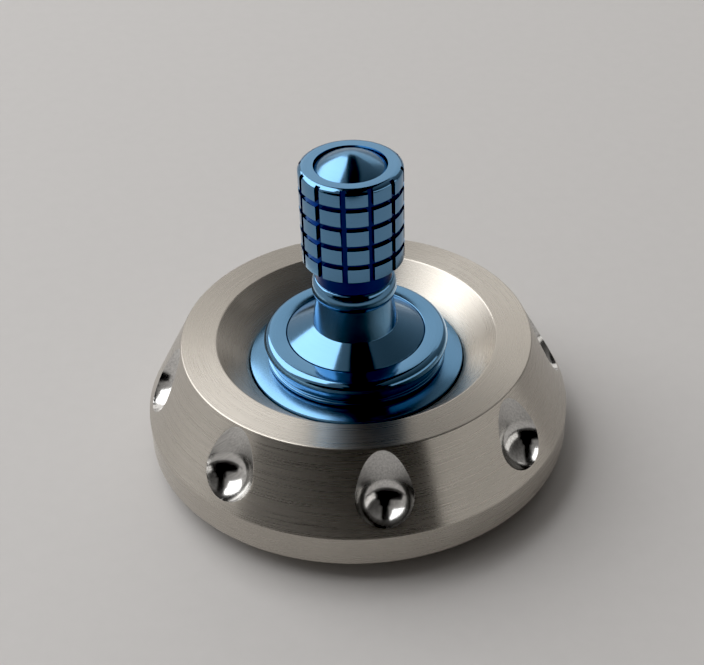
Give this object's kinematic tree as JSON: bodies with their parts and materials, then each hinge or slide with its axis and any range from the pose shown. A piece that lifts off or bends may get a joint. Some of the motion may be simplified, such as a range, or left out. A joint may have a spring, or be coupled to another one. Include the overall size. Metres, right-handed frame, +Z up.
{
  "type": "spinning top",
  "caption": "Hand-twisted desk spinning top: steel flywheel with milled dimples, blue anodised handle with a grooved finger grip, and a ball tip.",
  "frame": {"origin": "lowest point of the ball tip, on the spin axis, where it touches the floor", "axes": "+Z up along the spin axis towards the finger grip; +X to the right and -Y towards the viewer when the top is seen from the front"},
  "size_m": [0.032, 0.032, 0.0252],
  "materials": {
    "turned_steel": "fine turned, satin",
    "blue_anodised": "polished, blue anodised",
    "dark_steel": "turned, dark satin",
    "polished_steel": "mirror polished",
    "rubber": "matt black",
    "nylon": "matt natural"
  },
  "bodies": {
    "wheel": {"flywheel": "turned_steel", "hub_insert": "blue_anodised", "clamp_washer": "nylon", "clamp_ring": "dark_steel"},
    "handle_thread": {"handle_seal": "rubber"},
    "handle_group": {"hub_cap": "blue_anodised", "handle": "blue_anodised", "grip_sleeve": "blue_anodised", "grip_ring": "rubber", "grip_cap": "blue_anodised"},
    "tip_thread": {"tip_seal": "rubber"},
    "tip_group": {"tip_carrier": "dark_steel", "tip_ball": "polished_steel"}
  },
  "joints": [
    {"name": "handle_turn", "type": "hinge", "parent": "wheel", "child": "handle_thread", "pos_m": [0, 0, 0.006], "axis": [0, 0, 1], "range_deg": [0, 1260]},
    {"name": "handle_rise", "type": "slide", "parent": "handle_thread", "child": "handle_group", "axis": [0, 0, 1], "range_m": [0, 0.0028]},
    {"name": "tip_turn", "type": "hinge", "parent": "wheel", "child": "tip_thread", "pos_m": [0, 0, 0.003], "axis": [0, 0, -1], "range_deg": [0, 720]},
    {"name": "tip_drop", "type": "slide", "parent": "tip_thread", "child": "tip_group", "axis": [0, 0, -1], "range_m": [0, 0.001]}
  ],
  "couplings": [
    {"joint": "handle_rise", "follows": "handle_turn", "m_per_rad": 0.00012732},
    {"joint": "tip_drop", "follows": "tip_turn", "m_per_rad": 0.00007957}
  ]
}
